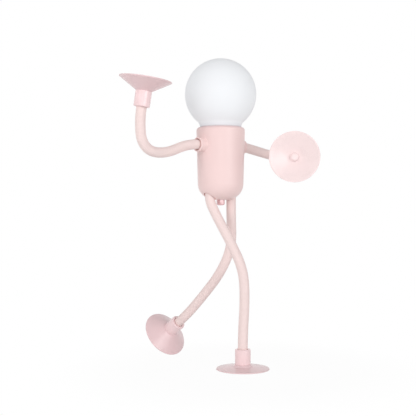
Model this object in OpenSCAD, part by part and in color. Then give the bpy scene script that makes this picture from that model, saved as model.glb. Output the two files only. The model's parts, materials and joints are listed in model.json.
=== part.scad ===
// Bendable night light in the shape of a little walking figure: a frosted globe for a head, a round
// body and four bendable hoses, each ending in a sleeve and a suction cup.
// The origin is the middle of the standing foot's suction face, +Z is up, the arms lie along X and
// the front of the body faces -Y. Right and left are the figure's own.

/* [Globe] */
// Outer diameter of the globe
globe_dia = 60; // [54:1:66]
// Wall of the globe
globe_wall = 1.6; // [1.2:0.1:2.4]
// Outer diameter of the globe's neck
neck_dia = 35; // [34:0.5:38]
// Radius of the hollow curve from the globe into its neck
neck_curve = 6; // [3:0.5:8]
// Straight stretch of neck that shows above the body
neck_show = 0.6; // [0.2:0.1:3]
// Depth of the neck inside the body
neck_depth = 6; // [4:0.5:8]
// Clearance round the neck
neck_gap = 0.15; // [0.1:0.05:0.3]

/* [Body] */
// Height of the body shell
body_height = 60.7; // [58:0.1:72]
// Width of the body's top edge outside the neck
lip_width = 2.75; // [2.2:0.05:4]
// How much narrower the body is at its foot, on each side
body_taper = 1.2; // [0:0.1:1.6]
// Radius of the body's round lower edge
heel_round = 13.7; // [12:0.1:15]
// Wall of the body shell
body_wall = 2.2; // [1.8:0.1:2.6]
// Distance of the arms below the body's top edge
shoulder_drop = 15.3; // [14.5:0.1:19]
// Distance of each leg from the body's axis
hip_offset = 11.8; // [11.4:0.1:12.4]

/* [Collars and end stubs] */
// How far the mouth of a shoulder collar lies from the body's axis
collar_reach = 25.5; // [23:0.1:30]
// Wall of a shoulder collar at its mouth
collar_wall = 1.4; // [1:0.1:2.4]
// Gap between a hose and the opening it leaves through
mouth_gap = 0.6; // [0.4:0.1:0.9]
// Distance from an opening to the first bend of its hose
mouth_to_bend = 1.5; // [1.3:0.1:3]
// Web that a limb's end stub is clamped against
web = 2.5; // [1.8:0.1:3]
// Diameter of the threaded shank of an end stub
shank_dia = 6; // [5:0.1:6.4]
// Diameter of the round nut on a shank
nut_dia = 10; // [9:0.1:10.4]
// Thickness of that nut
nut_height = 3; // [2:0.1:4]
// Length of a shank past its nut
shank_end = 1.2; // [0.6:0.1:1.4]
// Height of the web above the mouth of a hip opening
hip_depth = 8; // [7:0.1:9]

/* [Hoses] */
// Outer diameter of a hose, over its ribs
hose_dia = 8.2; // [7:0.1:8.6]
// Bore of a hose
hose_bore = 4.4; // [3:0.1:5]
// Distance from one rib of a hose to the next
rib_pitch = 1; // [0.8:0.1:2]
// Height of a rib
rib_height = 0.2; // [0.1:0.05:0.3]
// Length of hose without ribs on each side of a bend
rib_margin = 2.2; // [2:0.1:4]
// Gap between two sections of a hose at a bend
bend_gap = 0.3; // [0.2:0.05:0.4]
// Length of one arm section
arm_section = 21.2; // [20:0.1:24]
// Length of one leg section
leg_section = 25.6; // [24:0.1:28]

/* [Sleeves] */
// Length of a sleeve
sleeve_length = 12.5; // [11:0.1:15]
// Wall of a sleeve
sleeve_wall = 2.05; // [1.2:0.05:2.6]
// Gap between a hose and its sleeve
sleeve_gap = 0.3; // [0.1:0.05:0.5]
// Depth of a hose inside its sleeve
hose_insert = 8; // [6:0.1:8.4]
// Rounding of the mouth of a sleeve or a collar
mouth_round = 0.6; // [0.2:0.1:0.8]
// Diameter of the peg that holds a cup in its sleeve
peg_dia = 5; // [4:0.1:7]
// Length of that peg
peg_length = 2.4; // [1.6:0.1:2.6]
// Clearance round that peg
peg_gap = 0.15; // [0.1:0.05:0.3]

/* [Suction cups] */
// Diameter of a free cup
cup_dia = 41.6; // [36:0.2:46]
// Height of a free cup
cup_height = 9.5; // [8.5:0.1:12]
// Diameter of the standing cup, which is pressed flat
flat_cup_dia = 43.8; // [40:0.2:48]
// Height of the standing cup
flat_cup_height = 3.8; // [3.4:0.1:5]
// Width of the standing cup's face on the floor
flat_cup_face = 7; // [4:0.1:9]
// Thickness of a cup's rim
rim = 0.8; // [0.6:0.05:1.2]
// Thickness of a cup at its middle
cup_crown = 3; // [2.6:0.1:4]
// Diameter of the nub inside a free cup
nub_dia = 6.6; // [5:0.1:8]
// Depth of that nub behind the rim
nub_depth = 2.2; // [1.5:0.1:3]
// Depth of the hollow under the standing cup
flat_cup_hollow = 1.3; // [0.8:0.1:1.4]

/* [Button] */
// Diameter of the button
button_dia = 7; // [5:0.1:7.6]
// How far the button stands out under the body
button_out = 4.7; // [3:0.1:6]
// Rounding of the button's end
button_round = 1.6; // [0.5:0.1:2]
// Gap round the button
button_gap = 0.3; // [0.2:0.05:0.4]
// Travel of the button
button_travel = 0.8; // [0.4:0.1:1]
// Thickness of the flange that keeps the button in
flange = 1.2; // [0.8:0.1:1.4]
// How far that flange reaches past the opening
flange_reach = 0.9; // [0.6:0.1:1]

/* [Electronics] */
// Width and depth of the battery cell
cell_size = [20, 8]; // [7:0.1:21]
// Room above the battery cell
cell_room = 3.4; // [2:0.1:8]
// Distance of the cell's back from the body's middle plane
cell_shift = 0.8; // [0:0.1:1.2]
// Wall of the battery cradle
cradle_wall = 1.4; // [1:0.1:1.6]
// Clearance beside the cell
cell_gap = 0.3; // [0.1:0.05:0.5]
// Thickness of the circuit boards
board = 1.2; // [0.8:0.1:1.6]
// Width of the control board
control_width = 19; // [18:0.1:21]
// Height of the control board's foot above the cell's
control_rise = 3; // [1:0.1:5]
// Distance of the control board's screws from its sides, foot and top
control_inset = [3, 5, 4]; // [2.8:0.1:6]
// Height of the cradle above the switch board
cradle_lift = 4; // [2:0.1:6]
// Gap between the shanks at the hips and the cradle
shank_gap = 0.8; // [0.4:0.1:2]
// Width of the switch board
switch_width = 12; // [11:0.1:13]
// Distance from a screw hole of the switch board to the board's end
board_edge = 1.3; // [1:0.1:1.6]
// Distance of the switch board's screws from the body's axis
post_offset = 11.2; // [10.6:0.1:11.6]
// Edge length of the square switch
switch_edge = 6; // [5:0.1:7]
// Height of the switch
switch_height = 3; // [2.6:0.1:3.6]
// Diameter of the switch plunger
plunger_dia = 3.5; // [2.5:0.1:4]
// Gap round the plunger
plunger_gap = 0.3; // [0.2:0.05:0.4]
// Length of the plunger inside the switch
plunger_in = 0.9; // [0.5:0.1:1.1]
// Width, height and length of the charging socket
socket_size = [9, 3.3, 7]; // [3:0.1:9.4]
// Wall of the charging socket
socket_wall = 0.35; // [0.25:0.05:0.5]
// Depth of the charging socket's mouth behind the body's surface
socket_inset = 0.4; // [0.2:0.1:0.8]
// Gap round the charging socket
socket_gap = 0.4; // [0.2:0.05:0.6]
// Height of the charging socket above the body's underside
socket_height = 30; // [28:0.1:32]
// Thread diameter of the screws
screw_dia = 2; // [1.6:0.1:2.2]
// Head diameter of the screws
head_dia = 3.8; // [3.2:0.1:4]
// Head height of the screws
head_height = 1.4; // [1:0.1:1.6]
// Clearance round a screw in the piece that it holds
screw_gap = 0.15; // [0.1:0.05:0.3]
// Depth of a screw in the post that it holds to
screw_grip = 4; // [3:0.1:4.4]
// Thickness of the plate that carries the lamps
seat_plate = 2; // [1.4:0.1:3]
// Width of the ledge that the plate rests on
ledge = 2.8; // [2:0.1:3]
// Thickness of that ledge
ledge_height = 2.4; // [2:0.1:3]
// Gap between the plate's screw heads and the globe's neck
seat_screw_gap = 0.6; // [0.3:0.1:0.8]
// Height of the pad under the lamp board
lamp_pad = 1; // [0.6:0.1:2]
// Gap between the lamp board and the screw heads
lamp_board_gap = 1; // [0.4:0.1:2]
// Distance of the lamps from the body's axis
lamp_ring = 7; // [6:0.1:8]
// How far the pad stays inside the lamp board's edge
lamp_pad_inset = 2; // [1:0.1:3]
// Number of lamps
lamp_count = 6; // [4:1:8]
// Edge length of a lamp
lamp_edge = 3; // [2:0.1:3.4]
// Height of a lamp
lamp_height = 1.2; // [0.8:0.1:2]

/* [Rest pose] */
// How far each arm hangs below level at its shoulder, right and left
arm_droop = [4, 10]; // [0:1:14]
// Bends of the right arm's sections, from the shoulder out
right_arm_bends = [-19, 27, 77, 15]; // [-20:1:80]
// Twists of the right arm before each of those bends
right_arm_twists = [0, 0, -4, -8]; // [-10:1:10]
// Bends of the left arm's sections
left_arm_bends = [-3, 69, 70, 0]; // [-5:1:72]
// Twists of the left arm
left_arm_twists = [100, 0, 0, 0]; // [0:1:110]
// Direction in which each leg steps, right and left
leg_turn = [65, -108]; // [-120:1:80]
// Lean of the right leg where it leaves the body
right_leg_lean = 26; // [20:1:28]
// Bends of the right leg's sections but the last, which brings the foot level
right_leg_bends = [5, -4, -25, -6]; // [-30:1:10]
// Bends of the left leg's sections
left_leg_bends = [-2, 29, 14, 4, 12]; // [-5:1:35]
// Twists of the left leg
left_leg_twists = [0, 0, 0, 36, 0]; // [0:1:40]

/* [Hidden] */
$fn = 96;
slack = 0.3;
rest_gap = 0.05;
cut = 1;

body_pink = [0.98, 0.86, 0.86];
sleeve_pink = [0.97, 0.84, 0.86];
hose_pink = [0.93, 0.85, 0.83];
cup_pink = [0.87, 0.73, 0.75];
globe_white = [0.96, 0.96, 0.97];
board_green = [0.10, 0.38, 0.22];
steel_grey = [0.72, 0.72, 0.74];
plastic_white = [0.92, 0.92, 0.90];

// Radii of the body, its openings and the globe
globe_r = globe_dia / 2;
neck_r = neck_dia / 2;
top_bore_r = neck_r + neck_gap;
top_r = top_bore_r + lip_width;
foot_r = top_r - body_taper;
lip_round = lip_width - 0.15;
heel_flat = foot_r - heel_round;
cavity_r = foot_r - body_wall;
hose_r = hose_dia / 2;
core_r = hose_r - rib_height;
turn_r = core_r + 0.1;
draw_in = 0.1;
mouth_r = hose_r + mouth_gap;
collar_r = mouth_r + collar_wall;
shank_r = shank_dia / 2;
nut_r = nut_dia / 2;
pad_r = nut_r + 0.37;
sleeve_bore_r = hose_r + sleeve_gap;
sleeve_r = sleeve_bore_r + sleeve_wall;
cup_r = cup_dia / 2;
flat_cup_r = flat_cup_dia / 2;
peg_r = peg_dia / 2;
nub_r = nub_dia / 2;
button_r = button_dia / 2;
flange_r = button_r + button_gap + flange_reach;
plunger_r = plunger_dia / 2;
screw_r = screw_dia / 2;
head_r = head_dia / 2;
boss_r = screw_r + 1.6;

// Heights inside the body, from its underside
globe_rise = sqrt(pow(globe_r + neck_curve, 2) - pow(neck_r + neck_curve, 2));
globe_z = body_height + neck_show + globe_rise;
neck_foot_z = body_height - neck_depth;
ledge_z = neck_foot_z - seat_plate;
shoulder_z = body_height - shoulder_drop;
hip_web_z = hip_depth + web;
button_flange_z = body_wall + rest_gap;
plunger_foot_z = button_flange_z + flange;
switch_foot_z = plunger_foot_z + button_travel + 0.7;
switch_board_z = switch_foot_z + switch_height;
switch_room_r = cavity_at(switch_board_z) - slack;
cradle_z = max(switch_board_z + board + cradle_lift, hip_web_z + nut_height + shank_end + shank_gap);
cell_z = cradle_z + cradle_wall;
cell_top_z = ledge_z - ledge_height - cell_room;
cell_height = cell_top_z - cell_z;
cradle_back_y = cell_shift + cradle_wall;
control_y = foot_r - socket_inset - socket_size.z - board;
control_foot_z = cell_z + control_rise;
standoffs = [for (x = [-1, 1], z = [control_foot_z + control_inset.y, cell_top_z - control_inset.z])
    [x * (control_width / 2 - control_inset.x), z]];
switch_length = 2 * (post_offset + screw_r + board_edge);
seat_screw_offset = neck_r - globe_wall - head_r - seat_screw_gap;
lamp_board_r = seat_screw_offset - head_r - lamp_board_gap;
seat_screws_at = [90, 225, 315];
shoulder_pad_x = sqrt(pow(cavity_r, 2) - pow(pad_r, 2)) - 0.2;
shoulder_web_x = shoulder_pad_x + web;

// A limb is [first frame, turn, lean, section length, bends, twists, bend axes]
right_leg_last = -right_leg_lean - sum(right_leg_bends);
hip_z = -mouth_to_bend;
shoulder_x = collar_reach + mouth_to_bend;
outward_right = [[0, 0, -1, -shoulder_x], [0, 1, 0, 0], [1, 0, 0, shoulder_z], [0, 0, 0, 1]];
outward_left = [[0, 0, 1, shoulder_x], [0, -1, 0, 0], [1, 0, 0, shoulder_z], [0, 0, 0, 1]];
function cavity_at(z) = z > heel_round ? cavity_r
    : heel_flat + sqrt(pow(heel_round - body_wall, 2) - pow(heel_round - z, 2));
function downward(x) = [[1, 0, 0, x], [0, -1, 0, 0], [0, 0, -1, hip_z], [0, 0, 0, 1]];
right_arm = [outward_right, 0, -arm_droop[0], arm_section, right_arm_bends, right_arm_twists, "yxyx"];
left_arm = [outward_left, 0, -arm_droop[1], arm_section, left_arm_bends, left_arm_twists, "yyxy"];
right_leg = [downward(-hip_offset), leg_turn[0], right_leg_lean, leg_section,
    concat(right_leg_bends, [right_leg_last]), [0, 0, 0, 0, 0], "yxyxy"];
left_leg = [downward(hip_offset), leg_turn[1], 0, leg_section, left_leg_bends, left_leg_twists, "yxyxy"];
limbs = [right_arm, left_arm, right_leg, left_leg];

// The body stands where the right leg puts it, with the foot's face at the origin
foot_point = place_of(limb_end(right_leg) * shift([0, 0, sleeve_length + flat_cup_height]));
body_place = -foot_point;

// Frames are 4 x 4 matrices whose third column is the heading of a hose
function sum(list, i = 0) = i == len(list) ? 0 : list[i] + sum(list, i + 1);
function shift(v) = [[1, 0, 0, v.x], [0, 1, 0, v.y], [0, 0, 1, v.z], [0, 0, 0, 1]];
function spin_y(a) = [[cos(a), 0, sin(a), 0], [0, 1, 0, 0], [-sin(a), 0, cos(a), 0], [0, 0, 0, 1]];
function spin_z(a) = [[cos(a), -sin(a), 0, 0], [sin(a), cos(a), 0, 0], [0, 0, 1, 0], [0, 0, 0, 1]];
function place_of(m) = [m[0][3], m[1][3], m[2][3]];
function bend_radius(length, bend) = length * 180 / (PI * bend);
function along(length, bend) = bend == 0 ? shift([0, 0, length])
    : let (r = bend_radius(length, bend)) shift([r * (1 - cos(bend)), 0, r * sin(bend)]) * spin_y(bend);

// Frame of a limb's bend: the body's end of the first hose section, or the end of the section before
function bend_frame(limb, i) = i == 0 ? limb[0] * spin_z(limb[1]) * spin_y(limb[2])
    : bend_frame(limb, i - 1) * spin_z(limb[5][i - 1]) * along(limb[3], limb[4][i - 1]);
function section_frame(limb, i) = bend_frame(limb, i) * spin_z(limb[5][i]);
function limb_end(limb) = bend_frame(limb, len(limb[4]));

// Cylinder across a bend, which is the axis that the next section turns on
module across(axis, r) {
    rotate(axis == "y" ? [90, 0, 0] : [0, 90, 0])
        cylinder(r = r, h = 4 * hose_r, center = true);
}

// Straight or bent stretch of hose that starts at the origin and heads up, bending towards +X
module hose(length, bend) {
    if (bend == 0) {
        linear_extrude(length) hose_ring();
    } else {
        r = abs(bend_radius(length, bend));
        rotate(bend < 0 ? 180 : 0)
            multmatrix([[-1, 0, 0, r], [0, 0, 1, 0], [0, 1, 0, 0], [0, 0, 0, 1]])
                rotate_extrude(angle = abs(bend))
                    translate([r, 0]) hose_ring();
    }
}

module hose_ring() {
    difference() {
        circle(r = core_r);
        circle(d = hose_bore);
    }
}

// One rib of a hose, square to it
module rib() {
    translate([0, 0, -rib_pitch / 4])
        linear_extrude(rib_pitch / 2)
            difference() {
                circle(r = hose_r);
                circle(r = (core_r + hose_bore / 2) / 2);
            }
}

// Bare end of a hose inside its sleeve, drawn in a little
module hose_tip() {
    translate([0, 0, -draw_in])
        linear_extrude(hose_insert + draw_in)
            difference() {
                circle(r = core_r - draw_in);
                circle(d = hose_bore + draw_in);
            }
}

// One hose section: a round end that turns in the seat of the piece before, and a seat for the next
module hose_section(limb, i) {
    last = i == len(limb[4]) - 1;
    length = limb[3];
    bend = limb[4][i];
    color(hose_pink)
        translate(body_place)
            multmatrix(section_frame(limb, i))
                difference() {
                    union() {
                        hose(length, bend);
                        for (at = [rib_margin : rib_pitch : length - (last ? rib_pitch : rib_margin)])
                            multmatrix(along(at, bend * at / length)) rib();
                        if (last)
                            multmatrix(along(length, bend)) hose_tip();
                        intersection() {
                            translate([0, 0, -hose_r]) linear_extrude(hose_r) hose_ring();
                            rotate(-limb[5][i]) across(limb[6][i], turn_r);
                            sphere(r = mouth_r - bend_gap);
                        }
                    }
                    if (!last)
                        multmatrix(along(length, bend)) across(limb[6][i + 1], turn_r + bend_gap);
                }
}

// Sleeve, with the hose in its mouth at z = 0 and the cup's peg at its other end
module sleeve(limb) {
    color(sleeve_pink)
        translate(body_place)
            multmatrix(limb_end(limb))
                difference() {
                    rotate_extrude() {
                        translate([0, mouth_round]) square([sleeve_r, sleeve_length - mouth_round]);
                        square([sleeve_r - mouth_round, mouth_round]);
                        round_corner(sleeve_r - mouth_round, mouth_round, mouth_round, [1, -1]);
                    }
                    translate([0, 0, -cut]) cylinder(r = sleeve_bore_r, h = hose_insert + cut);
                    translate([0, 0, sleeve_length - peg_length - peg_gap])
                        cylinder(r = peg_r + peg_gap, h = peg_length + peg_gap + cut);
                }
}

// Quarter disc at x, y that fills a corner towards the given quadrant
module round_corner(x, y, r, quadrant) {
    translate([x, y])
        intersection() {
            circle(r = r);
            translate([min(quadrant.x, 0) * r, min(quadrant.y, 0) * r]) square(r);
        }
}

// Half outline of a free cup, from the sleeve's end at y = 0 to the rim
module cup_outline() {
    polygon([
        [0, 0], [sleeve_r, 0], [cup_r, cup_height - rim], [cup_r, cup_height], [cup_r - rim, cup_height],
        [nub_r + 3, cup_crown + rim], [nub_r + 1, cup_crown], [nub_r, cup_crown],
        [nub_r, cup_height - nub_depth - 1], [nub_r - 1, cup_height - nub_depth],
        [0, cup_height - nub_depth]]);
}

// Half outline of the standing cup, pressed flat
module flat_cup_outline() {
    polygon([
        [0, 0], [sleeve_r, 0], [sleeve_r + 2, 0.4 * flat_cup_height],
        [flat_cup_r - 0.5, flat_cup_height - rim], [flat_cup_r, flat_cup_height - rim / 2],
        [flat_cup_r, flat_cup_height], [flat_cup_r - flat_cup_face, flat_cup_height],
        [nub_r + 2, flat_cup_height - flat_cup_hollow], [0, flat_cup_height - flat_cup_hollow]]);
}

module cup_at(limb) {
    color(cup_pink)
        translate(body_place)
            multmatrix(limb_end(limb) * shift([0, 0, sleeve_length])) {
                rotate_extrude() children();
                translate([0, 0, -peg_length]) cylinder(r = peg_r, h = peg_length);
            }
}

// Half outline of the body, solid
module body_outline() {
    polygon([
        [0, 0], [heel_flat, 0], [heel_flat, heel_round], [foot_r, heel_round],
        [top_r, body_height - lip_round], [top_r - lip_round, body_height - lip_round],
        [top_r - lip_round, body_height], [0, body_height]]);
    round_corner(heel_flat, heel_round, heel_round, [1, -1]);
    round_corner(top_r - lip_round, body_height - lip_round, lip_round, [1, 1]);
}

// Half outline of the hollow inside the body, with the ledge under the lamp plate
module cavity_outline() {
    inner_round = heel_round - body_wall;
    polygon([
        [0, body_wall], [heel_flat, body_wall], [heel_flat, heel_round], [cavity_r, heel_round],
        [cavity_r, ledge_z - ledge_height], [top_bore_r - ledge, ledge_z - ledge_height],
        [top_bore_r - ledge, ledge_z],
        [top_bore_r, ledge_z], [top_bore_r, body_height + cut], [0, body_height + cut]]);
    round_corner(heel_flat, heel_round, inner_round, [1, -1]);
}

module at_hips() {
    for (side = [-1, 1])
        translate([side * hip_offset, 0, 0]) children();
}

module at_shoulders() {
    for (side = [-1, 1])
        translate([0, 0, shoulder_z]) rotate([0, side * 90, 0]) children();
}

module at_posts() {
    for (y = [-1, 1] * post_offset)
        translate([0, y, 0]) children();
}

module at_seat_screws() {
    for (a = seat_screws_at)
        rotate(a) translate([seat_screw_offset, 0, ledge_z]) children();
}

module at_standoffs() {
    for (p = standoffs)
        translate([p.x, cradle_back_y, p.y]) rotate([-90, 0, 0]) children();
}

module at_socket() {
    translate([0, control_y + board, socket_height]) rotate([-90, 0, 0]) children();
}

// Rounded slot outline, width along X
module slot(width, height) {
    for (x = [-1, 1] * (width - height) / 2)
        translate([x, 0]) circle(d = height);
    square([width - height, height], center = true);
}

module screw(length) {
    translate([0, 0, -length]) cylinder(r = screw_r, h = length);
    cylinder(r = head_r, h = head_height);
}

module body_shell() {
    color(body_pink)
        translate(body_place)
            difference() {
                union() {
                    difference() {
                        union() {
                            rotate_extrude() body_outline();
                            at_shoulders() collar();
                        }
                        rotate_extrude() cavity_outline();
                    }
                    intersection() {
                        rotate_extrude() body_outline();
                        union() {
                            at_shoulders() translate([0, 0, shoulder_pad_x])
                                cylinder(r = pad_r, h = foot_r - shoulder_pad_x);
                            at_hips() cylinder(r = mouth_r + slack, h = hip_web_z);
                            at_posts() cylinder(r = boss_r, h = switch_board_z);
                            at_seat_screws() translate([0, 0, -screw_grip - cut])
                                cylinder(r = boss_r, h = screw_grip + cut);
                        }
                    }
                }
                at_shoulders() {
                    translate([0, 0, shoulder_web_x]) cylinder(r = mouth_r, h = collar_reach);
                    cylinder(r = shank_r + screw_gap, h = collar_reach);
                    translate([0, 0, shoulder_pad_x - nut_height - slack])
                        cylinder(r = pad_r - 0.04, h = nut_height + slack);
                }
                at_hips() {
                    translate([0, 0, -cut]) cylinder(r = mouth_r, h = hip_depth + cut);
                    cylinder(r = shank_r + screw_gap, h = hip_web_z + cut);
                    translate([0, 0, hip_web_z]) cylinder(r = nut_r + slack, h = nut_height + slack);
                }
                at_posts() translate([0, 0, switch_board_z - screw_grip])
                    cylinder(r = screw_r, h = screw_grip + cut);
                at_seat_screws() translate([0, 0, -screw_grip]) cylinder(r = screw_r, h = screw_grip + cut);
                translate([0, 0, -cut]) cylinder(r = button_r + button_gap, h = body_wall + 2 * cut);
                at_socket() linear_extrude(foot_r)
                    slot(socket_size.x + 2 * socket_gap, socket_size.y + 2 * socket_gap);
            }
}

// Shoulder collar along Z, from inside the wall to its rounded mouth
module collar() {
    inside = cavity_r - 2;
    translate([0, 0, inside]) cylinder(r = collar_r, h = collar_reach - mouth_round - inside);
    rotate_extrude() {
        translate([0, foot_r]) square([collar_r - mouth_round, collar_reach - foot_r]);
        round_corner(collar_r - mouth_round, collar_reach - mouth_round, mouth_round, [1, 1]);
    }
}

// Half outline of the globe's neck, with the hollow curve that leads into the ball
module neck_outline() {
    touch_r = (neck_r + neck_curve) * globe_r / (globe_r + neck_curve);
    touch_y = -globe_rise * globe_r / (globe_r + neck_curve);
    foot_y = neck_foot_z - globe_z;
    difference() {
        polygon([[0, touch_y + cut], [touch_r - cut, touch_y + cut], [touch_r, touch_y],
            [touch_r, -globe_rise], [neck_r, -globe_rise], [neck_r, foot_y], [0, foot_y]]);
        translate([neck_r + neck_curve, -globe_rise]) circle(r = neck_curve + rest_gap);
    }
}

module globe() {
    color(globe_white)
        translate(body_place + [0, 0, globe_z])
            difference() {
                union() {
                    sphere(r = globe_r);
                    rotate_extrude() neck_outline();
                }
                sphere(r = globe_r - globe_wall);
                translate([0, 0, neck_foot_z - globe_z - cut])
                    cylinder(r = neck_r - globe_wall, h = globe_z - neck_foot_z);
            }
}

module light_seat() {
    color(plastic_white)
        translate(body_place)
            difference() {
                union() {
                    translate([0, 0, ledge_z]) cylinder(r = top_bore_r - slack, h = seat_plate);
                    translate([0, 0, neck_foot_z]) cylinder(r = lamp_board_r - lamp_pad_inset, h = lamp_pad);
                }
                at_seat_screws() translate([0, 0, -cut])
                    cylinder(r = screw_r + screw_gap, h = seat_plate + 2 * cut);
            }
}

module seat_screws() {
    color(steel_grey)
        translate(body_place)
            at_seat_screws() translate([0, 0, seat_plate]) screw(seat_plate + screw_grip - 0.5);
}

module lamp_board() {
    color(plastic_white)
        translate(body_place + [0, 0, neck_foot_z + lamp_pad])
            cylinder(r = lamp_board_r, h = board);
}

module lamps() {
    color([1, 0.93, 0.6])
        translate(body_place + [0, 0, neck_foot_z + lamp_pad + board])
            for (i = [0 : lamp_count - 1])
                rotate(i * 360 / lamp_count)
                    translate([lamp_ring - lamp_edge / 2, -lamp_edge / 2, 0])
                        cube([lamp_edge, lamp_edge, lamp_height]);
}

module battery_cell() {
    color([0.35, 0.5, 0.75])
        translate(body_place + [-cell_size.x / 2, cell_shift - cell_size.y, cell_z])
            cube([cell_size.x, cell_size.y, cell_height]);
}

// Tray for the cell on two columns, with standoffs for the control board behind it
module battery_cradle() {
    side = cell_size.x / 2 + cell_gap;
    front_y = cell_shift - cell_size.y;
    back_width = 2 * (abs(standoffs[0].x) + boss_r);
    color(plastic_white)
        translate(body_place)
            difference() {
                union() {
                    translate([-side - cradle_wall, front_y, cradle_z])
                        cube([2 * (side + cradle_wall), cradle_back_y - front_y, cradle_wall]);
                    for (x = [-side - cradle_wall, side])
                        translate([x, front_y, cradle_z])
                            cube([cradle_wall, cradle_back_y - front_y, cradle_wall + cell_height / 3]);
                    translate([-back_width / 2, cell_shift, cradle_z])
                        cube([back_width, cradle_wall, cell_top_z - cradle_z]);
                    translate([-boss_r, -post_offset, cradle_z])
                        cube([2 * boss_r, 2 * post_offset, cradle_wall]);
                    at_posts() translate([0, 0, switch_board_z + board])
                        cylinder(r = boss_r, h = cell_z - switch_board_z - board);
                    at_standoffs() cylinder(r = boss_r, h = control_y - cradle_back_y);
                }
                at_posts() cylinder(r = screw_r + screw_gap, h = cell_z + cut);
                at_standoffs() translate([0, 0, control_y - cradle_back_y - screw_grip])
                    cylinder(r = screw_r, h = screw_grip + cut);
            }
}

module cradle_screws() {
    color(steel_grey)
        translate(body_place)
            at_posts() translate([0, 0, cell_z]) screw(cell_z - switch_board_z + screw_grip - 0.5);
}

module control_board() {
    color(board_green)
        translate(body_place)
            difference() {
                translate([-control_width / 2, control_y, control_foot_z])
                    cube([control_width, board, cell_top_z - control_foot_z]);
                at_standoffs() cylinder(r = screw_r + screw_gap, h = foot_r);
            }
}

module board_screws() {
    color(steel_grey)
        translate(body_place)
            at_standoffs() translate([0, 0, control_y + board - cradle_back_y])
                screw(board + screw_grip - 0.5);
}

// Charging socket: a rounded shell with a contact tongue inside
module charging_socket() {
    depth = socket_size.z - 1.5;
    color(steel_grey)
        translate(body_place)
            at_socket()
                difference() {
                    linear_extrude(socket_size.z) slot(socket_size.x, socket_size.y);
                    translate([0, 0, socket_size.z - depth])
                        linear_extrude(depth + cut)
                            difference() {
                                slot(socket_size.x - 2 * socket_wall, socket_size.y - 2 * socket_wall);
                                square([socket_size.x - 6 * socket_wall, 2 * socket_wall], center = true);
                            }
                }
}

module switch_board() {
    color(board_green)
        translate(body_place)
            difference() {
                intersection() {
                    translate([-switch_width / 2, -switch_length / 2, switch_board_z])
                        cube([switch_width, switch_length, board]);
                    translate([0, 0, switch_board_z]) cylinder(r = switch_room_r, h = board);
                }
                at_posts() cylinder(r = screw_r + screw_gap, h = switch_board_z + board + cut);
            }
}

module switch_body() {
    color([0.2, 0.2, 0.22])
        translate(body_place)
            difference() {
                translate([-switch_edge / 2, -switch_edge / 2, switch_foot_z])
                    cube([switch_edge, switch_edge, switch_height]);
                cylinder(r = plunger_r + plunger_gap,
                    h = switch_foot_z + plunger_in + button_travel + slack);
            }
}

// Threaded stubs that the hoses turn on, one for each limb
module limb_stubs() {
    color(steel_grey)
        translate(body_place)
            for (limb = limbs) {
                leg = limb[3] == leg_section;
                reach = leg ? hip_depth + mouth_to_bend : shoulder_x - shoulder_web_x;
                shank = web + nut_height + shank_end;
                multmatrix(limb[0])
                    difference() {
                        union() {
                            translate([0, 0, -reach]) cylinder(r = core_r, h = reach);
                            translate([0, 0, -reach - shank]) cylinder(r = shank_r, h = shank + cut);
                        }
                        rotate(limb[1]) across(limb[6][0], turn_r + bend_gap);
                    }
            }
}

module limb_nuts() {
    color(steel_grey)
        translate(body_place) {
            at_hips() translate([0, 0, hip_web_z]) nut();
            at_shoulders() translate([0, 0, shoulder_pad_x - nut_height]) nut();
        }
}

module nut() {
    difference() {
        cylinder(r = nut_r, h = nut_height);
        translate([0, 0, -cut]) cylinder(r = shank_r, h = nut_height + 2 * cut);
    }
}

module power_button() {
    color(sleeve_pink)
        translate(body_place)
            rotate_extrude() {
                translate([0, -button_out + button_round])
                    square([button_r, button_out - button_round + body_wall + flange]);
                translate([0, -button_out]) square([button_r - button_round, button_round]);
                round_corner(button_r - button_round, -button_out + button_round, button_round, [1, -1]);
                translate([0, button_flange_z]) square([flange_r, flange]);
            }
}

module switch_plunger() {
    color([0.2, 0.2, 0.22])
        translate(body_place + [0, 0, plunger_foot_z])
            cylinder(r = plunger_r, h = switch_foot_z + plunger_in - plunger_foot_z);
}

module right_arm_1() { hose_section(right_arm, 0); }
module right_arm_2() { hose_section(right_arm, 1); }
module right_arm_3() { hose_section(right_arm, 2); }
module right_arm_4() { hose_section(right_arm, 3); }
module right_hand_sleeve() { sleeve(right_arm); }
module right_hand_cup() { cup_at(right_arm) cup_outline(); }

module left_arm_1() { hose_section(left_arm, 0); }
module left_arm_2() { hose_section(left_arm, 1); }
module left_arm_3() { hose_section(left_arm, 2); }
module left_arm_4() { hose_section(left_arm, 3); }
module left_hand_sleeve() { sleeve(left_arm); }
module left_hand_cup() { cup_at(left_arm) cup_outline(); }

module right_leg_1() { hose_section(right_leg, 0); }
module right_leg_2() { hose_section(right_leg, 1); }
module right_leg_3() { hose_section(right_leg, 2); }
module right_leg_4() { hose_section(right_leg, 3); }
module right_leg_5() { hose_section(right_leg, 4); }
module right_foot_sleeve() { sleeve(right_leg); }
module right_foot_cup() { cup_at(right_leg) flat_cup_outline(); }

module left_leg_1() { hose_section(left_leg, 0); }
module left_leg_2() { hose_section(left_leg, 1); }
module left_leg_3() { hose_section(left_leg, 2); }
module left_leg_4() { hose_section(left_leg, 3); }
module left_leg_5() { hose_section(left_leg, 4); }
module left_foot_sleeve() { sleeve(left_leg); }
module left_foot_cup() { cup_at(left_leg) cup_outline(); }

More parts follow.
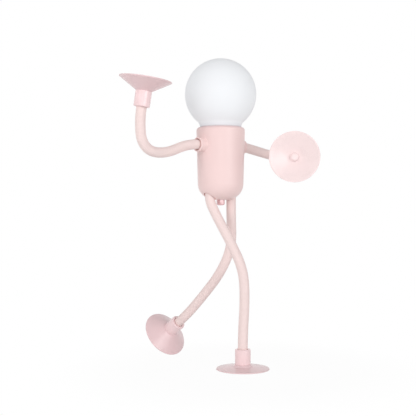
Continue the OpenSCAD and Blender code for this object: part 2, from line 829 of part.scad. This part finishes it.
body_shell();
globe();
light_seat();
seat_screws();
lamp_board();
lamps();
battery_cell();
battery_cradle();
cradle_screws();
control_board();
board_screws();
charging_socket();
switch_board();
switch_body();
limb_stubs();
limb_nuts();
power_button();
switch_plunger();
right_arm_1();
right_arm_2();
right_arm_3();
right_arm_4();
right_hand_sleeve();
right_hand_cup();
left_arm_1();
left_arm_2();
left_arm_3();
left_arm_4();
left_hand_sleeve();
left_hand_cup();
right_leg_1();
right_leg_2();
right_leg_3();
right_leg_4();
right_leg_5();
right_foot_sleeve();
right_foot_cup();
left_leg_1();
left_leg_2();
left_leg_3();
left_leg_4();
left_leg_5();
left_foot_sleeve();
left_foot_cup();
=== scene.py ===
import json
import math

import bmesh
import bpy
from mathutils import Matrix, Vector


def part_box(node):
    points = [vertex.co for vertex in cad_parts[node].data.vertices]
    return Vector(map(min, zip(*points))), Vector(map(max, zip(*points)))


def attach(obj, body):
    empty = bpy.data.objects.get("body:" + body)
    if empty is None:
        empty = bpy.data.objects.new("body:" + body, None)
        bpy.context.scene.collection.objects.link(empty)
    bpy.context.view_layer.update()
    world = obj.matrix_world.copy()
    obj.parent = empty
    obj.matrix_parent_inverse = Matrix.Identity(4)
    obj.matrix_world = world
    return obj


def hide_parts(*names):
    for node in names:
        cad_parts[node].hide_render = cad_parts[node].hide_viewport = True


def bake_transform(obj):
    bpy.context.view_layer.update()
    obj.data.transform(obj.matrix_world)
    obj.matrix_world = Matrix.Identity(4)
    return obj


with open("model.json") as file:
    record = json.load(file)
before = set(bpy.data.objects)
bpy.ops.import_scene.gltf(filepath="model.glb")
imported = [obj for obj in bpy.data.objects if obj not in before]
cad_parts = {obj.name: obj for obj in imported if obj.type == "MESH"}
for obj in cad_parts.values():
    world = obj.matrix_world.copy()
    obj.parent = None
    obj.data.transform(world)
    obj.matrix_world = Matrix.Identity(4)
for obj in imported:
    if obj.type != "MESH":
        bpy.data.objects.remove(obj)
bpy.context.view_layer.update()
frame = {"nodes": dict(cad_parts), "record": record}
cadNodes = frame["nodes"]
scene = bpy.context.scene
scene.view_settings.view_transform = "Standard"
mm = 0.001
print("frame loaded with", len(cadNodes), "nodes")


# The body's place is the middle of its underside
shellLow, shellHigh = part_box("body_shell")
bodyPlace = Vector(((shellLow.x + shellHigh.x) / 2, (shellLow.y + shellHigh.y) / 2, shellLow.z)) / mm
bodyHeight = shellHigh.z - shellLow.z
atBody = Matrix.Translation(bodyPlace)
shoulderHeight = 45.4
hipOffset = 11.8

# Level camera at the photo's angle
cameraView = {"lens": 70.96, "sensorWidth": 36, "place": (-452.4, -494.9, 131.5), "tilt": 90, "heading": -40}


def makeCamera(view):
    data = bpy.data.cameras.new("photoCamera")
    data.lens = view["lens"]
    data.sensor_width = view["sensorWidth"]
    camera = bpy.data.objects.new("photoCamera", data)
    camera.location = Vector(view["place"]) * mm
    camera.rotation_euler = (math.radians(view["tilt"]), 0, math.radians(view["heading"]))
    scene.collection.objects.link(camera)
    scene.camera = camera


makeCamera(cameraView)
print("camera ready")


# A socket as a value: an expression on it adds its own nodes
class Wire:
    def __init__(self, tree, socket=None):
        self.tree = tree
        self.socket = socket

    def node(self, kind, settings=None, sockets=None, out=0):
        made = self.tree.nodes.new(kind)
        for key, value in (settings or {}).items():
            setattr(made, key, value)
        for key, value in (sockets or {}).items():
            if isinstance(value, Wire):
                self.tree.links.new(value.socket, made.inputs[key])
            else:
                made.inputs[key].default_value = value
        return Wire(self.tree, made.outputs[out] if len(made.outputs) else None)

    def math(self, operation, first, second=0.0):
        return self.node("ShaderNodeMath", {"operation": operation}, {0: first, 1: second})

    def to(self, socket):
        self.tree.links.new(self.socket, socket)

    def __add__(self, other): return self.math("ADD", self, other)
    def __radd__(self, other): return self.math("ADD", other, self)
    def __sub__(self, other): return self.math("SUBTRACT", self, other)
    def __rsub__(self, other): return self.math("SUBTRACT", other, self)
    def __mul__(self, other): return self.math("MULTIPLY", self, other)
    def __rmul__(self, other): return self.math("MULTIPLY", other, self)
    def __truediv__(self, other): return self.math("DIVIDE", self, other)
    def __rtruediv__(self, other): return self.math("DIVIDE", other, self)


# Inputs 6 and 7 and output 2 are the node's colours
def mixColour(wire, factor, first, second):
    return wire.node("ShaderNodeMix", {"data_type": "RGBA"}, {0: factor, 6: first, 7: second}, out=2)


# Finishes: cloud and grain are noise sizes in millimetres, fixed goes straight to the shader
surface = {"noiseDetail": 2.0, "bumpDepth": 0.05}
finishes = {
    "bodyPink": {"colour": (0.90, 0.685, 0.67), "spread": 0.02, "rough": 0.32, "roughSpread": 0.06,
                 "cloud": 14, "grain": 0.5, "bump": 0.03, "fixed": {"Specular IOR Level": 0.3}},
    "sleevePink": {"colour": (0.92, 0.695, 0.705), "spread": 0.02, "rough": 0.28, "roughSpread": 0.06,
                   "cloud": 6, "grain": 0.4, "bump": 0.02,
                   "fixed": {"Coat Weight": 0.5, "Coat Roughness": 0.12}},
    "buttonPink": {"colour": (0.82, 0.48, 0.50), "spread": 0.03, "rough": 0.2, "roughSpread": 0.04,
                   "cloud": 3, "grain": 0.3, "bump": 0.02,
                   "fixed": {"Coat Weight": 1.0, "Coat Roughness": 0.15, "Coat IOR": 2.3}},
    "cupSilicone": {"colour": (0.85, 0.63, 0.645), "spread": 0.03, "rough": 0.22, "roughSpread": 0.06,
                    "cloud": 9, "grain": 0.6, "bump": 0.04, "fixed": {}},
    # Paler copy of the cup rubber for the inside faces: painted light
    "cupFaceLit": {"colour": (0.92, 0.76, 0.755), "spread": 0.02, "rough": 0.28, "roughSpread": 0.06,
                "cloud": 9, "grain": 0.6, "bump": 0.03, "fixed": {}},
    "globeFrost": {"colour": (0.66, 0.675, 0.70), "spread": 0.01, "rough": 0.42, "roughSpread": 0.06,
                   "cloud": 20, "grain": 0.25, "bump": 0.02,
                   "fixed": {"Specular IOR Level": 0.0, "Emission Color": (1, 1, 1, 1),
                             "Emission Strength": 0.25}},
    # Dark rose of painted shade for the sleeves' bores
    "boreShade": {"colour": (0.72, 0.30, 0.26), "spread": 0.06, "rough": 0.45, "roughSpread": 0.1,
                 "cloud": 3, "grain": 0.4, "bump": 0.03, "fixed": {}},
    # Dark brown-red of painted shade for the limb stubs in the holes
    "stubShade": {"colour": (0.42, 0.19, 0.16), "spread": 0.1, "rough": 0.5, "roughSpread": 0.1,
                  "cloud": 3, "grain": 0.3, "bump": 0.05, "fixed": {}},
    "innerWhite": {"colour": (0.80, 0.80, 0.77), "spread": 0.03, "rough": 0.5, "roughSpread": 0.1,
                   "cloud": 8, "grain": 0.5, "bump": 0.05, "fixed": {}},
    "boardGreen": {"colour": (0.02, 0.14, 0.05), "spread": 0.2, "rough": 0.35, "roughSpread": 0.1,
                   "cloud": 2.5, "grain": 0.4, "bump": 0.1, "fixed": {"Coat Weight": 0.3}},
    "screwSteel": {"colour": (0.55, 0.55, 0.57), "spread": 0.08, "rough": 0.3, "roughSpread": 0.15,
                   "cloud": 2, "grain": 0.2, "bump": 0.05, "fixed": {"Metallic": 1.0}},
    "cellFoil": {"colour": (0.50, 0.53, 0.58), "spread": 0.06, "rough": 0.35, "roughSpread": 0.2,
                 "cloud": 4, "grain": 1.0, "bump": 0.15, "fixed": {"Metallic": 0.9}},
    "switchBlack": {"colour": (0.02, 0.02, 0.022), "spread": 0.3, "rough": 0.45, "roughSpread": 0.1,
                    "cloud": 2, "grain": 0.3, "bump": 0.06, "fixed": {}},
    "lampYellow": {"colour": (0.95, 0.72, 0.20), "spread": 0.06, "rough": 0.4, "roughSpread": 0.1,
                   "cloud": 1, "grain": 0.2, "bump": 0.05, "fixed": {}},
}


def startMaterial(name, fixed):
    material = bpy.data.materials.new(name)
    material.use_nodes = True
    material.cycles.emission_sampling = "NONE"
    shader = material.node_tree.nodes["Principled BSDF"]
    for socket, value in fixed.items():
        shader.inputs[socket].default_value = value
    wire = Wire(material.node_tree)
    return material, wire, wire.node("ShaderNodeTexCoord", out="Object"), shader


def noise(wire, place, size):
    return wire.node("ShaderNodeTexNoise", {},
                     {"Vector": place, "Scale": 1 / (size * mm), "Detail": surface["noiseDetail"]})


def shaded(colour, factor=1.0):
    return tuple(min(1.0, part * factor) for part in colour) + (1.0,)


# Distances of a point from the body's place, in metres
def fromBody(place):
    outputs = place.node("ShaderNodeSeparateXYZ", {}, {0: place}).socket.node.outputs
    return [Wire(place.tree, socket) - start * mm for socket, start in zip(outputs, bodyPlace)]


# Smooth share of a length in metres between the two limits of a setting
def ramp(wire, length, limits):
    return wire.node("ShaderNodeMapRange", {"interpolation_type": "SMOOTHSTEP"},
                     {"Value": length, "From Min": limits["from"] * mm, "From Max": limits["to"] * mm})


# Body: painted shade, a dark rose inside the mouths that the hoses come out of, and a deeper pink of painted
# shade at the rim round the globe
mouthShade = {"radius": 4.8, "colour": (0.80, 0.30, 0.24)}
rimShade = {"from": 2.0, "to": 0.2, "colour": (0.76, 0.545, 0.55)}


def bodyPatches(wire, place):
    x, y, z = fromBody(place)
    rise = z - shoulderHeight * mm
    side = wire.math("ABSOLUTE", x) - hipOffset * mm
    nearest = wire.math("MINIMUM", y * y + rise * rise, y * y + side * side)
    # Painted shade: dark rose inside the collar and hip mouths
    mouthShadeMask = wire.math("LESS_THAN", nearest, (mouthShade["radius"] * mm) ** 2)
    # The second patch is painted shade that darkens the rim towards the top, under the globe
    return [(mouthShadeMask, mouthShade["colour"]), (ramp(wire, bodyHeight - z, rimShade), rimShade["colour"])]


# The globe greys towards its neck, with a dark band of painted shadow where it meets the body
neck = {"from": 4.5, "to": 0.0, "colour": (0.55, 0.56, 0.60),
        "seamShadowHeight": 0.7, "seamShadowColour": (0.42, 0.37, 0.38)}


def globePatches(wire, place):
    height = fromBody(place)[2] - bodyHeight
    # Painted shadow in the thin band where the neck meets the body
    seamShadow = wire.math("LESS_THAN", height, neck["seamShadowHeight"] * mm)
    return [(ramp(wire, height, neck), neck["colour"]), (seamShadow, neck["seamShadowColour"])]


patches = {"bodyPink": bodyPatches, "globeFrost": globePatches}


def makeFinish(name, look):
    material, wire, place, shader = startMaterial(name, look["fixed"])
    cloud = noise(wire, place, look["cloud"])
    grain = noise(wire, place, look["grain"])
    dark = shaded(look["colour"], 1 - look["spread"])
    light = shaded(look["colour"], 1 + look["spread"])
    painted = mixColour(wire, cloud, dark, light)
    if name in patches:
        for share, patchColour in patches[name](wire, place):
            painted = mixColour(wire, share, painted, shaded(patchColour))
    painted.to(shader.inputs["Base Color"])
    rough = (cloud + grain) * look["roughSpread"] + (look["rough"] - look["roughSpread"])
    rough.to(shader.inputs["Roughness"])
    bump = wire.node("ShaderNodeBump", {},
                     {"Strength": look["bump"], "Distance": surface["bumpDepth"] * mm, "Height": grain})
    bump.to(shader.inputs["Normal"])
    return material


materials = {name: makeFinish(name, look) for name, look in finishes.items()}

# Hose paint: ridges and grooves follow the ribs' own attribute; the grooves' darker colour is painted shade
hosePaint = {"ridge": (0.935, 0.777, 0.756), "grooveShade": (0.86, 0.689, 0.667), "cloud": 7, "cloudLow": 0.9,
             "cloudSpread": 0.2, "grain": 0.3, "rough": 0.5, "roughSpread": 0.15,
             "fixed": {"Specular IOR Level": 0.15}}


def makeHosePaint(look):
    material, wire, place, shader = startMaterial("hosePaint", look["fixed"])
    bead = wire.node("ShaderNodeAttribute", {"attribute_name": "bead"}, out="Fac")
    cloud = noise(wire, place, look["cloud"])
    grain = noise(wire, place, look["grain"])
    ridgeShare = bead * (look["cloudLow"] + cloud * look["cloudSpread"])
    # The grooves take the darker colour: painted shade
    painted = mixColour(wire, ridgeShare, shaded(look["grooveShade"]), shaded(look["ridge"]))
    painted.to(shader.inputs["Base Color"])
    (look["rough"] + grain * look["roughSpread"]).to(shader.inputs["Roughness"])
    return material


materials["hosePaint"] = makeHosePaint(hosePaint)

slotFinish = {
    "body_pink": "bodyPink", "frosted_white": "globeFrost", "hose_paint": "hosePaint",
    "sleeve_pink": "sleevePink", "cup_rubber": "cupSilicone", "button_pink": "buttonPink",
    "inner_white": "innerWhite", "board_green": "boardGreen", "screw_steel": "screwSteel",
    "cell_foil": "cellFoil", "switch_black": "switchBlack", "lamp_yellow": "lampYellow",
}
for part in frame["record"]["subparts"]:
    for materialSlot in cadNodes[part["node"]].material_slots:
        materialSlot.material = materials[slotFinish[part["material_slot"]]]
# The stubs take the dark finish: painted shade in the holes
for materialSlot in cadNodes["limb_stubs"].material_slots:
    materialSlot.material = materials["stubShade"]
print("finishes ready:", len(materials))


# Mesh helpers: points and outlines are in millimetres
shaping = {"sharpAngle": 40, "cornerShare": 0.48, "cornerSteps": 8, "onAxis": 1e-6}


# Turns the faces outwards and puts the mesh into the scene
def addPiece(name, mesh, sharpAngle):
    shape = bmesh.new()
    shape.from_mesh(mesh)
    bmesh.ops.recalc_face_normals(shape, faces=shape.faces)
    shape.to_mesh(mesh)
    shape.free()
    mesh.polygons.foreach_set("use_smooth", [True] * len(mesh.polygons))
    mesh.set_sharp_from_angle(angle=math.radians(sharpAngle))
    piece = bpy.data.objects.new(name, mesh)
    scene.collection.objects.link(piece)
    return piece


def meshPiece(name, points, faces, finish):
    mesh = bpy.data.meshes.new(name)
    mesh.from_pydata([Vector(point) * mm for point in points], [], faces)
    mesh.materials.append(materials[finish])
    return addPiece(name, mesh, shaping["sharpAngle"])


# Rounds the corners of an outline: each is (radius, height) or (radius, height, rounding)
def softened(corners):
    outline = []
    steps = shaping["cornerSteps"]
    most = shaping["cornerShare"]
    for index, corner in enumerate(corners):
        here = Vector(corner[:2])
        if len(corner) < 3:
            outline.append(here)
            continue
        back = Vector(corners[index - 1][:2]) - here
        ahead = Vector(corners[index + 1][:2]) - here
        half = back.angle(ahead) / 2
        reach = min(corner[2] / math.tan(half), most * back.length, most * ahead.length)
        radius = reach * math.tan(half)
        back.normalize()
        ahead.normalize()
        middle = here + (back + ahead).normalized() * radius / math.sin(half)
        for step in range(steps + 1):
            share = step / steps
            spoke = (here + back * reach - middle).slerp(here + ahead * reach - middle, share)
            outline.append(middle + spoke.normalized() * radius)
    return outline


def lathed(name, outline, place, finish, segments):
    points = []
    rings = []
    for radius, height in outline:
        count = 1 if radius < shaping["onAxis"] else segments
        rings.append(range(len(points), len(points) + count))
        for index in range(count):
            angle = 2 * math.pi * index / segments
            points.append(place @ Vector((radius * math.cos(angle), radius * math.sin(angle), height)))
    faces = []
    for low, high in zip(rings, rings[1:]):
        for index in range(segments):
            after = (index + 1) % segments
            corners = [low[index % len(low)], low[after % len(low)],
                       high[after % len(high)], high[index % len(high)]]
            faces.append(list(dict.fromkeys(corners)))
    return meshPiece(name, points, faces, finish)


def stands(piece, bodyName, slotName, *replaced):
    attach(piece, bodyName)
    if replaced:
        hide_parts(*replaced)


# Hollow fillets that lead the body into its shoulder collars
shoulderFillet = {"rolling": 0.9, "collarRadius": 6.1, "sink": 0.4, "around": 96, "across": 14,
                  "endStep": 0.4, "bodyRadius": 19.2, "taper": 0.027, "taperFrom": 13.7}


def makeFillets(size):
    points = []
    faces = []
    ball = size["rolling"]
    collar = size["collarRadius"]
    rows = size["across"] + 3  # the curve's points and a sunk one at either end
    for side in (-1, 1):
        first = len(points)
        for index in range(size["around"]):
            angle = 2 * math.pi * index / size["around"]
            outward = Vector((0, math.cos(angle), math.sin(angle)))
            centre = outward * (collar + ball) + Vector((0, 0, shoulderHeight))
            radius = size["bodyRadius"] + size["taper"] * (centre.z - size["taperFrom"]) + ball
            centre.x = math.sqrt(radius ** 2 - centre.y ** 2)
            inward = -Vector((centre.x, centre.y, 0)).normalized()
            ring = []
            for step in range(size["across"] + 1):
                share = min(1, max(0, (step - size["endStep"]) / (size["across"] - 2 * size["endStep"])))
                ring.append(centre + (-outward).slerp(inward, share) * ball)
            ring.append(ring[-1] + inward * size["sink"])
            ring.insert(0, ring[0] - outward * size["sink"])
            for point in ring:
                points.append(bodyPlace + Vector((point.x * side, point.y, point.z)))
        for index in range(size["around"]):
            after = (index + 1) % size["around"]
            for row in range(rows):
                nextRow = (row + 1) % rows
                faces.append((first + index * rows + row, first + after * rows + row,
                              first + after * rows + nextRow, first + index * rows + nextRow))
    return meshPiece("shoulderFillets", points, faces, "bodyPink")


stands(makeFillets(shoulderFillet), "torso", "body_pink")

# Push button with its keeping flange
button = {"outline": [(0, 3.45), (4.7, 3.45, 0.2), (4.7, 2.25, 0.2), (3.5, 2.25), (3.5, -4.7, 1.7),
                      (0, -4.7)], "segments": 96}
stands(lathed("pushButton", softened(button["outline"]), atBody, "buttonPink", button["segments"]),
       "button", "button_pink", "power_button")
print("body details ready")


# Rest pose of the limbs, as the frame has it
limbs = {
    "right_arm": {"root": (-27, 0, shoulderHeight), "heading": (-90, "Y"), "turn": 0, "lean": -4,
                  "section": 21.2, "bends": (-19, 27, 77, 15), "twists": (0, 0, -4, -8),
                  "end": "right_hand"},
    "left_arm": {"root": (27, 0, shoulderHeight), "heading": (90, "Y"), "turn": 180, "lean": -10,
                 "section": 21.2, "bends": (-3, 69, 70, 0), "twists": (100, 0, 0, 0),
                 "end": "left_hand"},
    "right_leg": {"root": (-hipOffset, 0, -1.5), "heading": (180, "X"), "turn": 65, "lean": 26,
                  "section": 25.6, "bends": (5, -4, -25, -6, 4), "twists": (0, 0, 0, 0, 0),
                  "end": "right_foot"},
    "left_leg": {"root": (hipOffset, 0, -1.5), "heading": (180, "X"), "turn": -108, "lean": 0,
                 "section": 25.6, "bends": (-2, 29, 14, 4, 12), "twists": (0, 0, 0, 36, 0),
                 "end": "left_foot"},
}


def turned(angle, axis):
    return Matrix.Rotation(math.radians(angle), 4, axis)


# Step along an arc of a length that turns by a bend
def along(length, bend):
    angle = math.radians(bend)
    if angle == 0:
        return Matrix.Translation((0, 0, length))
    radius = length / angle
    reach = Vector((radius * (1 - math.cos(angle)), 0, radius * math.sin(angle)))
    return Matrix.Translation(reach) @ turned(bend, "Y")


# Frame of a limb at a length from its first bend: negative is inside the body
def limbFrame(limb, length):
    here = atBody @ Matrix.Translation(limb["root"]) @ turned(*limb["heading"])
    if length < 0:
        return here @ Matrix.Translation((0, 0, length))
    here = here @ turned(limb["turn"], "Z") @ turned(limb["lean"], "Y")
    for bend, twist in zip(limb["bends"], limb["twists"]):
        part = min(length, limb["section"])
        here = here @ turned(twist, "Z") @ along(part, bend * part / limb["section"])
        length -= part
    return here @ Matrix.Translation((0, 0, length))


# One ribbed tube for each hinge, on a smoothed path that follows the limb's bends
hose = {"radius": 4.1, "grooveDepth": 0.12, "ribPitch": 1.0, "step": 0.17, "sides": 36, "sharpAngle": 60,
        "sample": 0.25, "smoothing": 2.6, "spareWidths": 3, "buried": 7.0, "rootMouth": -1.5, "ringRoom": 3.0}


def makeHoseTree():
    tree = bpy.data.node_groups.new("ribbedHose", "GeometryNodeTree")
    tree.interface.new_socket("Geometry", in_out="INPUT", socket_type="NodeSocketGeometry")
    kinds = {"Radius": "Float", "Groove Depth": "Float", "Rib Pitch": "Float", "Step": "Float",
             "Start": "Float", "Sides": "Int", "Paint": "Material"}
    identifiers = {}
    for label, kind in kinds.items():
        socket = tree.interface.new_socket(label, in_out="INPUT", socket_type="NodeSocket" + kind)
        identifiers[label] = socket.identifier
    tree.interface.new_socket("Geometry", in_out="OUTPUT", socket_type="NodeSocketGeometry")

    wire = Wire(tree)
    given = tree.nodes.new("NodeGroupInput")
    value = {socket.name: Wire(tree, socket) for socket in given.outputs if socket.name}
    path = wire.node("GeometryNodeResampleCurve", {"mode": "LENGTH"},
                     {"Curve": value["Geometry"], "Length": value["Step"]})
    length = wire.node("GeometryNodeSplineParameter", out="Length")
    turns = (length + value["Start"]) / value["Rib Pitch"] * math.pi
    bead = wire.math("ABSOLUTE", wire.math("SINE", turns))
    path = wire.node("GeometryNodeStoreNamedAttribute", {"data_type": "FLOAT", "domain": "POINT"},
                     {"Geometry": path, "Name": "bead", "Value": bead})
    ring = wire.node("GeometryNodeCurvePrimitiveCircle", {"mode": "RADIUS"},
                     {"Resolution": value["Sides"], "Radius": 1.0})
    radius = value["Radius"] - value["Groove Depth"] * (1 - bead)
    tube = wire.node("GeometryNodeCurveToMesh", {},
                     {"Curve": path, "Profile Curve": ring, "Scale": radius, "Fill Caps": True})
    tube = wire.node("GeometryNodeRealizeInstances", {}, {"Geometry": tube})
    tube = wire.node("GeometryNodeSetMaterial", {}, {"Geometry": tube, "Material": value["Paint"]})
    tube.to(tree.nodes.new("NodeGroupOutput").inputs["Geometry"])
    return tree, identifiers


hoseTree, hoseInputs = makeHoseTree()


# Points along a limb, evened out by a bell curve as wide as the smoothing
def smoothPath(limb, size):
    total = limb["section"] * len(limb["bends"]) + size["buried"]
    spare = size["spareWidths"] * size["smoothing"]
    count = round((total + size["buried"] + 2 * spare) / size["sample"])
    lengths = [-size["buried"] - spare + index * size["sample"] for index in range(count + 1)]
    raw = [limbFrame(limb, length).translation for length in lengths]
    reach = round(spare / size["sample"])
    offsets = [index * size["sample"] / size["smoothing"] for index in range(-reach, reach + 1)]
    weights = [math.exp(-0.5 * offset ** 2) for offset in offsets]
    whole = sum(weights)
    path = []
    for index in range(reach, len(raw) - reach):
        place = Vector()
        for weight, point in zip(weights, raw[index - reach:index + reach + 1]):
            place += point * (weight / whole)
        path.append((lengths[index], place))
    return path


def hosePiece(name, stretch, start, size):
    curve = bpy.data.curves.new(name + "Path", "CURVE")
    curve.dimensions = "3D"
    spline = curve.splines.new("POLY")
    spline.points.add(len(stretch) - 1)
    for point, place in zip(spline.points, stretch):
        point.co = (*(place * mm), 1)
    line = bpy.data.objects.new(name + "Path", curve)
    scene.collection.objects.link(line)
    modifier = line.modifiers.new("ribbedHose", "NODES")
    modifier.node_group = hoseTree
    sizes = {"Radius": size["radius"] * mm, "Groove Depth": size["grooveDepth"] * mm,
             "Rib Pitch": size["ribPitch"] * mm, "Step": size["step"] * mm, "Start": start * mm,
             "Sides": size["sides"], "Paint": materials["hosePaint"]}
    for label, amount in sizes.items():
        modifier[hoseInputs[label]] = amount
    depsgraph = bpy.context.evaluated_depsgraph_get()
    mesh = bpy.data.meshes.new_from_object(line.evaluated_get(depsgraph), depsgraph=depsgraph)
    mesh.name = name
    bpy.data.objects.remove(line)
    bpy.data.curves.remove(curve)
    return addPiece(name, mesh, size["sharpAngle"])


def makeLimb(name, limb, size):
    path = smoothPath(limb, size)
    section = limb["section"]
    count = len(limb["bends"])
    breaks = [-math.inf] + [(index + 0.5) * section for index in range(count - 1)] + [math.inf]
    run = 0.0
    for index in range(count):
        low, high = breaks[index], breaks[index + 1] + size["sample"]
        stretch = [place for length, place in path if low <= length <= high]
        piece = hosePiece(f"{name}Hose{index + 1}", stretch, run, size)
        run += sum((after - before).length for before, after in zip(stretch, stretch[1:]))
        ringRoom = size["ringRoom"]
        first = size["rootMouth"] if index == 0 else (index - 0.5) * section + ringRoom
        last = (index + 0.5) * section - ringRoom
        tuple(limbFrame(limb, first).translation * mm)
        tuple(limbFrame(limb, last).translation * mm)
        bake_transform(piece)
        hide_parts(f"{name}_{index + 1}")


# Sleeves and suction cups at the limbs' ends
sleeve = {"outline": [(0, 8), (4.4, 8), (4.4, 0, 0.3), (6.45, 0, 0.7), (6.45, 12.5, 0.3), (2.6, 12.5),
                      (2.6, 9.9), (0, 9.9)], "length": 12.5, "shadedWithin": 4.45, "segments": 96}
freeCup = {"outline": [(0, -2.4), (2.5, -2.4, 0.3), (2.5, 0), (6.45, 0, 0.15), (20.8, 8.7, 0.5),
                       (20.8, 9.5, 0.3), (20.0, 9.5, 0.4), (6.3, 3.8, 4.0), (3.5, 3.0, 0.9),
                       (3.3, 5.9, 1.5), (0, 5.9)], "segments": 128, "faceFrom": 0.2}
standingCup = {"outline": [(0, -2.4), (2.5, -2.4, 0.3), (2.5, 0), (6.45, 0, 0.3), (8.45, 1.52, 1.6),
                           (21.4, 3.0, 0.4), (21.9, 3.4, 0.3), (21.9, 3.8, 0.15), (14.9, 3.8, 0.3),
                           (5.3, 2.5, 1.0), (0, 2.5)], "segments": 128, "faceFrom": 0.2}


# Gives the faces that a test picks, in the piece's own frame, another finish
def secondFinish(piece, finish, place, picks):
    piece.data.materials.append(materials[finish])
    inside = place.inverted()
    turnedBack = inside.to_3x3()
    for face in piece.data.polygons:
        if picks(inside @ (face.center / mm), turnedBack @ face.normal):
            face.material_index = 1


def makeLimbEnd(name, limb):
    last = f"{name}_{len(limb['bends'])}"
    end = limbFrame(limb, limb["section"] * len(limb["bends"]))
    piece = lathed(limb["end"] + "Sleeve", softened(sleeve["outline"]), end, "sleevePink", sleeve["segments"])
    # The bore's faces take the dark rose of painted shade
    secondFinish(piece, "boreShade", end, lambda at, facing: at.xy.length < sleeve["shadedWithin"])
    stands(piece, last, "sleeve_pink", limb["end"] + "_sleeve")
    cup = standingCup if limb["end"] == "right_foot" else freeCup
    place = end @ Matrix.Translation((0, 0, sleeve["length"]))
    piece = lathed(limb["end"] + "Cup", softened(cup["outline"]), place, "cupSilicone", cup["segments"])
    # The inside faces take the paler copy of the rubber: painted light
    secondFinish(piece, "cupFaceLit", place, lambda at, facing: facing.z > cup["faceFrom"])
    stands(piece, last, "cup_rubber", limb["end"] + "_cup")


for name, limb in limbs.items():
    makeLimb(name, limb, hose)
    makeLimbEnd(name, limb)
print("limbs ready:", len(limbs))


# White studio: the floor keeps a faint shadow near the object
studio = {"floorHalf": 4000, "floorDrop": 0.15, "floorColour": 0.94, "floorRough": 0.9, "shadowShare": 0.05,
          "clearFrom": 70, "clearAt": 170, "fill": 0.38}
lamps = {
    "leftSoftbox": {"place": (-1565, -313, 330), "target": (0, 20, 140), "width": 600, "height": 1500,
                    "power": 11.8, "mirrored": False},
    "rightSoftbox": {"place": (54, -1578, 330), "target": (0, 20, 140), "width": 900, "height": 1500,
                     "power": 12.9, "mirrored": True},
    "leftFill": {"place": (-1128, 1128, 400), "target": (0, 20, 140), "width": 1000, "height": 1000,
                 "power": 2.2, "mirrored": False},
    "frontSoftbox": {"place": (-1029, -1226, 215), "target": (0, 20, 100), "width": 420, "height": 420,
                     "power": 1.4, "mirrored": True},
    "backSoftbox": {"place": (980, 1240, 600), "target": (0, 20, 140), "width": 1200, "height": 1200,
                    "power": 7.0, "mirrored": False},
}


def cameraMask(wire):
    paths = wire.node("ShaderNodeLightPath")
    outputs = paths.socket.node.outputs
    seen = Wire(wire.tree, outputs["Is Camera Ray"]) + Wire(wire.tree, outputs["Is Glossy Ray"])
    return wire.math("MINIMUM", seen + Wire(wire.tree, outputs["Is Transmission Ray"]), 1.0)


def makeFloor(size):
    white = {"Base Color": shaded((size["floorColour"],) * 3), "Roughness": size["floorRough"],
             "Specular IOR Level": 0.0}
    material, wire, place, shader = startMaterial("floorWhite", white)
    distance = wire.node("ShaderNodeVectorMath", {"operation": "LENGTH"}, {0: place}, out="Value")
    clear = wire.node("ShaderNodeMapRange", {"interpolation_type": "SMOOTHSTEP"},
                      {"Value": distance, "From Min": size["clearFrom"] * mm,
                       "From Max": size["clearAt"] * mm, "To Min": 1 - size["shadowShare"], "To Max": 1.0})
    glow = wire.node("ShaderNodeEmission", {}, {"Color": (1, 1, 1, 1), "Strength": 1.0})
    both = wire.node("ShaderNodeMixShader", {},
                     {0: cameraMask(wire) * clear, 1: Wire(wire.tree, shader.outputs[0]), 2: glow})
    both.to(wire.tree.nodes["Material Output"].inputs["Surface"])
    half = size["floorHalf"] * mm
    drop = -size["floorDrop"] * mm
    mesh = bpy.data.meshes.new("floor")
    mesh.from_pydata([(-half, -half, drop), (half, -half, drop), (half, half, drop), (-half, half, drop)],
                     [], [(0, 1, 2, 3)])
    mesh.materials.append(material)
    floor = bpy.data.objects.new("floor", mesh)
    scene.collection.objects.link(floor)


def makeWorld(size):
    world = bpy.data.worlds.new("studioWorld")
    world.use_nodes = True
    scene.world = world
    tree = world.node_tree
    wire = Wire(tree)
    seen = cameraMask(wire)
    strength = seen + (1 - seen) * size["fill"]
    glow = wire.node("ShaderNodeBackground", {}, {"Color": (1, 1, 1, 1), "Strength": strength})
    glow.to(tree.nodes["World Output"].inputs["Surface"])


def makeLamps(group):
    for name, look in group.items():
        data = bpy.data.lights.new(name, "AREA")
        data.shape = "RECTANGLE"
        data.size = look["width"] * mm
        data.size_y = look["height"] * mm
        data.energy = look["power"]
        lamp = bpy.data.objects.new(name, data)
        lamp.visible_glossy = look["mirrored"]
        place = Vector(look["place"])
        lamp.location = place * mm
        lamp.rotation_euler = (Vector(look["target"]) - place).to_track_quat("-Z", "Y").to_euler()
        scene.collection.objects.link(lamp)


makeFloor(studio)
makeWorld(studio)
makeLamps(lamps)
print("studio ready")
